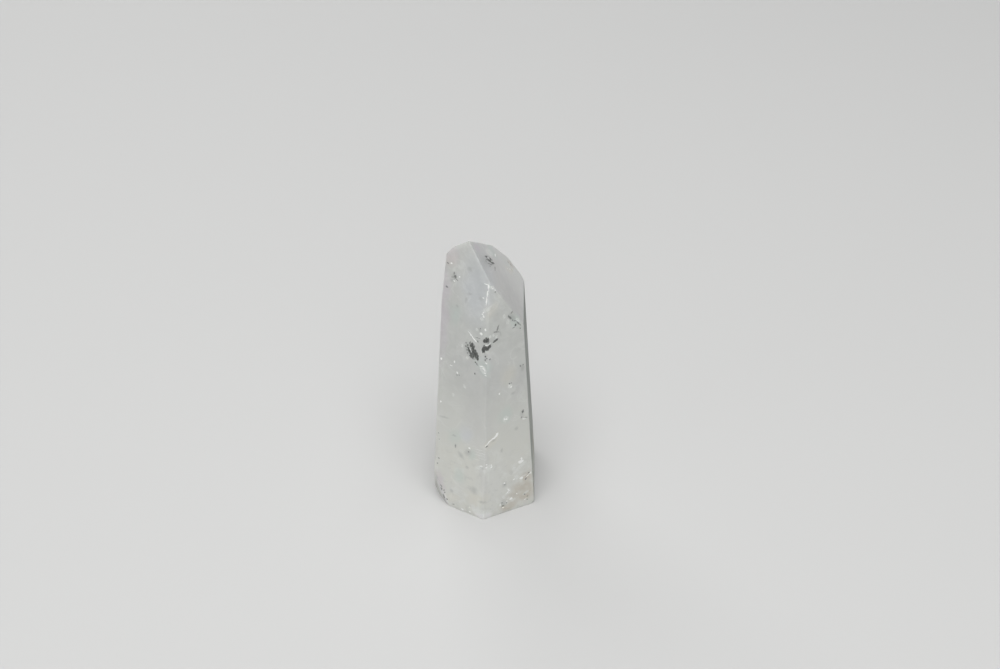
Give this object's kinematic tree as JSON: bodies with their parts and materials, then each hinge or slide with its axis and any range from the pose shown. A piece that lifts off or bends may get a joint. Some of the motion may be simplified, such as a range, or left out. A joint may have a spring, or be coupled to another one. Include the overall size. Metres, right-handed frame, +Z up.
{
  "type": "polished quartz obelisk",
  "caption": "Free-standing polished quartz point, a tapered six-sided prism with a steep slanted crown, that stands on its flat ground foot as an ornament.",
  "frame": {"origin": "middle of the stone's outer box at the level of the flat foot", "axes": "+Z up along the prism, -Y towards the front edge, +X towards the side that the big slope faces"},
  "size_m": [0.0382, 0.0506, 0.1152],
  "materials": {
    "quartz": "polished milky quartz, cloudy and only slightly see-through"
  },
  "bodies": {
    "root": {"quartz_obelisk": "quartz"}
  },
  "joints": []
}
